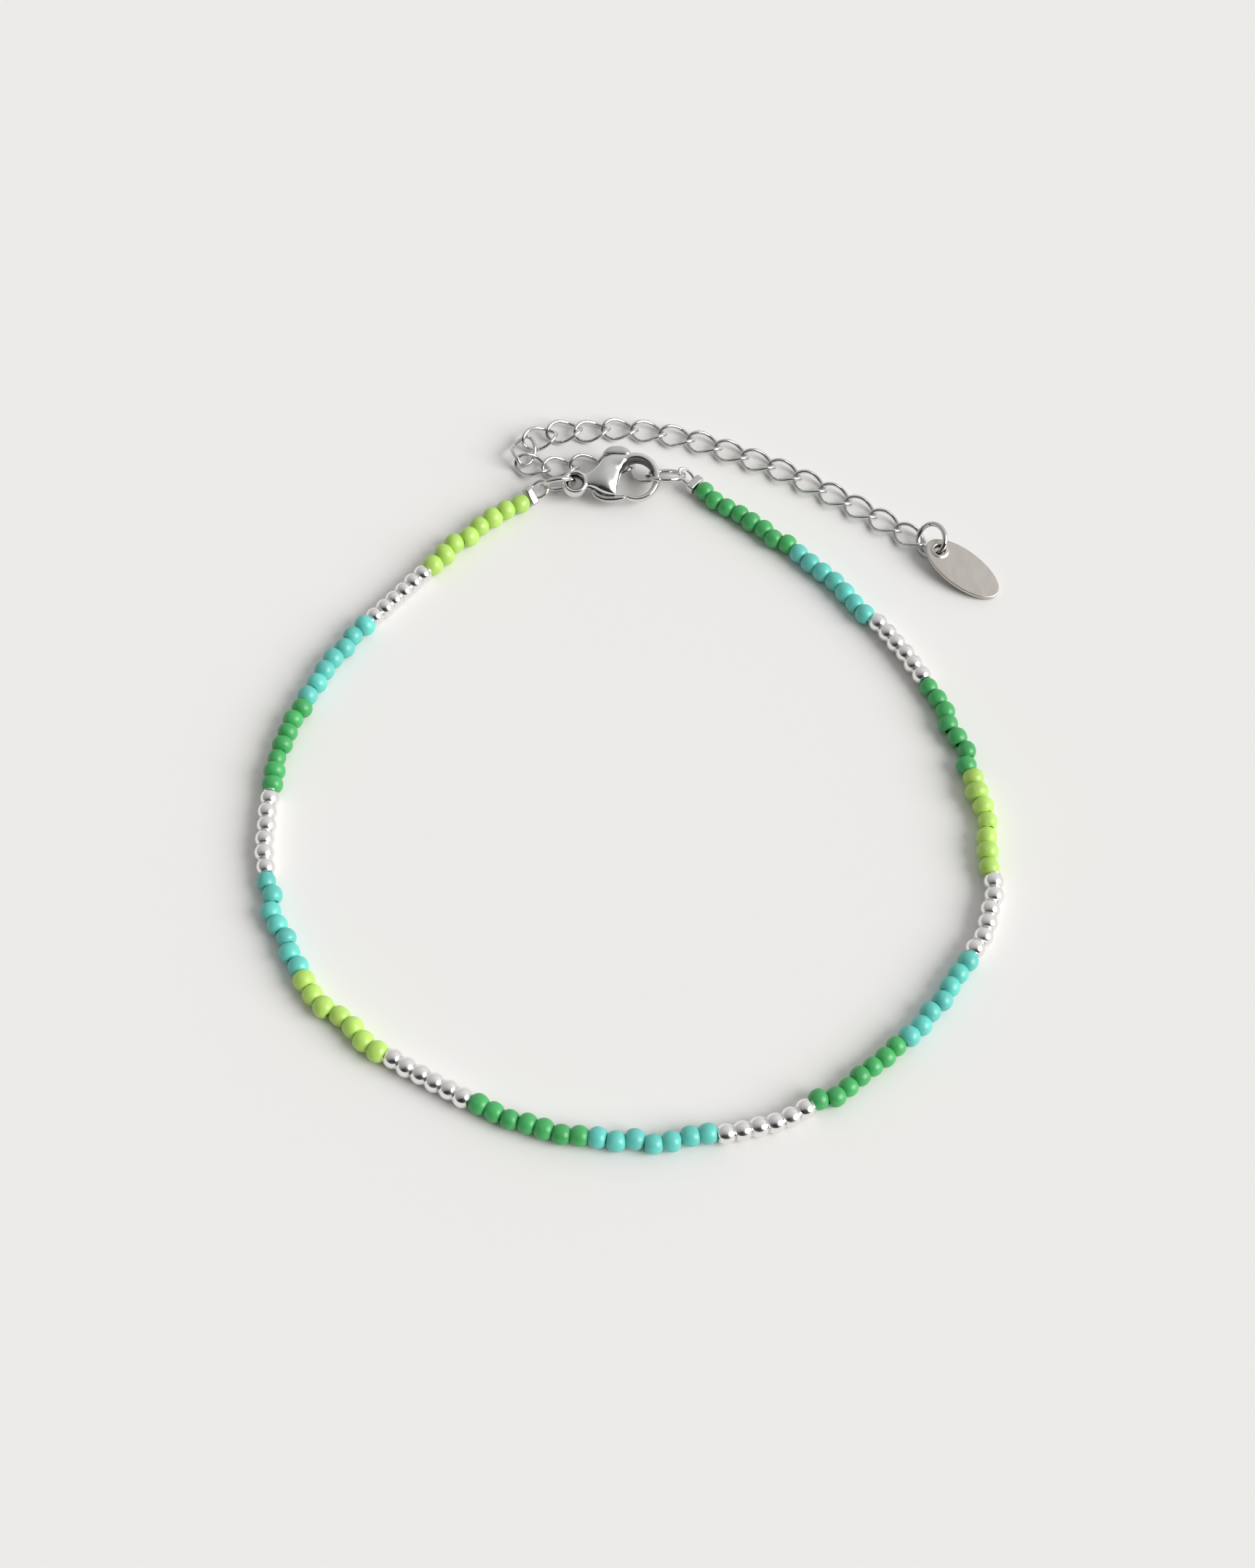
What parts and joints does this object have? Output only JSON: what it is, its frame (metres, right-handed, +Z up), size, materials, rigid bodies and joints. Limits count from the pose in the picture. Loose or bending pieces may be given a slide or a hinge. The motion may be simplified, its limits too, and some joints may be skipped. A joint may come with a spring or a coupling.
{
  "type": "beaded anklet",
  "caption": "Loop of coloured seed beads closed by a sprung lobster clasp, with an extension chain ending in a plain oval tag, laid flat.",
  "frame": {"origin": "on the table, under the middle of the whole outline", "axes": "+Z up off the table, +Y away from the camera to the clasp, +X to the right as pictured"},
  "size_m": [0.0772, 0.089, 0.0041],
  "materials": {
    "lime_glass": "opaque satin",
    "green_glass": "opaque satin",
    "turquoise_glass": "opaque satin",
    "silver_bead": "mirror",
    "polished_steel": "polished",
    "satin_steel": "satin"
  },
  "bodies": {
    "anklet": {"bead_run_01_lime": "lime_glass", "bead_run_02_silver": "silver_bead", "bead_run_03_turquoise": "turquoise_glass", "bead_run_04_green": "green_glass", "bead_run_05_silver": "silver_bead", "bead_run_06_turquoise": "turquoise_glass", "bead_run_07_lime": "lime_glass", "bead_run_08_silver": "silver_bead", "bead_run_09_green": "green_glass", "bead_run_10_turquoise": "turquoise_glass", "bead_run_11_silver": "silver_bead", "bead_run_12_green": "green_glass", "bead_run_13_turquoise": "turquoise_glass", "bead_run_14_silver": "silver_bead", "bead_run_15_lime": "lime_glass", "bead_run_16_green": "green_glass", "bead_run_17_silver": "silver_bead", "bead_run_18_turquoise": "turquoise_glass", "bead_run_19_green": "green_glass", "crimp_end_eye_side": "polished_steel", "crimp_end_chain_side": "polished_steel", "jump_ring_eye": "polished_steel", "jump_ring_chain": "polished_steel", "jump_ring_tag": "polished_steel", "chain_link_01": "polished_steel", "chain_link_02": "polished_steel", "chain_link_03": "polished_steel", "chain_link_04": "polished_steel", "chain_link_05": "polished_steel", "chain_link_06": "polished_steel", "chain_link_07": "polished_steel", "chain_link_08": "polished_steel", "chain_link_09": "polished_steel", "chain_link_10": "polished_steel", "chain_link_11": "polished_steel", "chain_link_12": "polished_steel", "chain_link_13": "polished_steel", "chain_link_14": "polished_steel", "chain_link_15": "polished_steel", "chain_link_16": "polished_steel", "chain_link_17": "polished_steel", "chain_link_18": "polished_steel", "chain_link_19": "polished_steel", "chain_link_20": "polished_steel", "chain_link_21": "polished_steel", "clasp_body": "polished_steel", "oval_tag": "satin_steel"},
    "lever": {"clasp_lever": "polished_steel"}
  },
  "joints": [
    {"name": "clasp_lever_hinge", "type": "hinge", "parent": "anklet", "child": "lever", "pos_m": [-0.00416, 0.03347, 0.00175], "axis": [0.0216, -0.3083, 0.9511], "range_deg": [0, 25], "stiffness_Nm_per_rad": 0.002, "springref_deg": -11.46}
  ]
}
